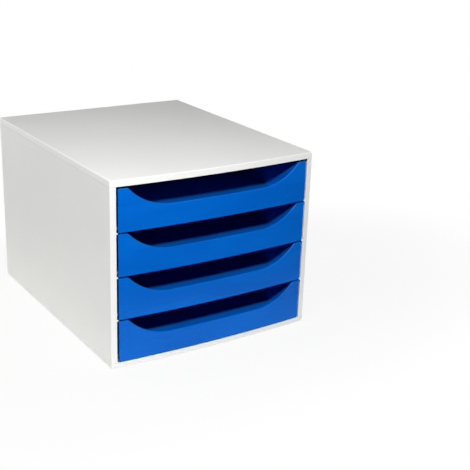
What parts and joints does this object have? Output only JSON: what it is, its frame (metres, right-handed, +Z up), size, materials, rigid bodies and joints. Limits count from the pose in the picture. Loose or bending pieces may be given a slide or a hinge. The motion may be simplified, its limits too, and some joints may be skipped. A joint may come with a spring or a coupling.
{
  "type": "drawer cabinet",
  "caption": "Desktop cabinet with open drawers: a pale moulded casing on pads holds wide blue trays with scooped fronts that slide out for papers.",
  "frame": {"origin": "bottom centre of the whole cabinet's box, on the surface that the pads stand on, drawers shut", "axes": "+Z up; -Y out of the drawer fronts, so the drawers pull out along -Y; +X to the right for someone who faces the fronts"},
  "size_m": [0.284, 0.3488, 0.235],
  "materials": {
    "casing": "off-white moulded polystyrene, fine satin grain",
    "drawer": "bright blue moulded polystyrene, satin to glossy",
    "pad": "soft dark grey anti-slip pad, dull"
  },
  "bodies": {
    "casing": {"top_panel": "casing", "bottom_panel": "casing", "left_side_panel": "casing", "right_side_panel": "casing", "back_panel": "casing", "front_left_foot": "pad", "front_right_foot": "pad", "back_left_foot": "pad", "back_right_foot": "pad"},
    "drawer_1": {"drawer_1": "drawer"},
    "drawer_2": {"drawer_2": "drawer"},
    "drawer_3": {"drawer_3": "drawer"},
    "drawer_4": {"drawer_4": "drawer"}
  },
  "joints": [
    {"name": "drawer_1_slide", "type": "slide", "parent": "casing", "child": "drawer_1", "axis": [0, -1, 0], "range_m": [0, 0.25]},
    {"name": "drawer_2_slide", "type": "slide", "parent": "casing", "child": "drawer_2", "axis": [0, -1, 0], "range_m": [0, 0.25]},
    {"name": "drawer_3_slide", "type": "slide", "parent": "casing", "child": "drawer_3", "axis": [0, -1, 0], "range_m": [0, 0.25]},
    {"name": "drawer_4_slide", "type": "slide", "parent": "casing", "child": "drawer_4", "axis": [0, -1, 0], "range_m": [0, 0.25]}
  ]
}
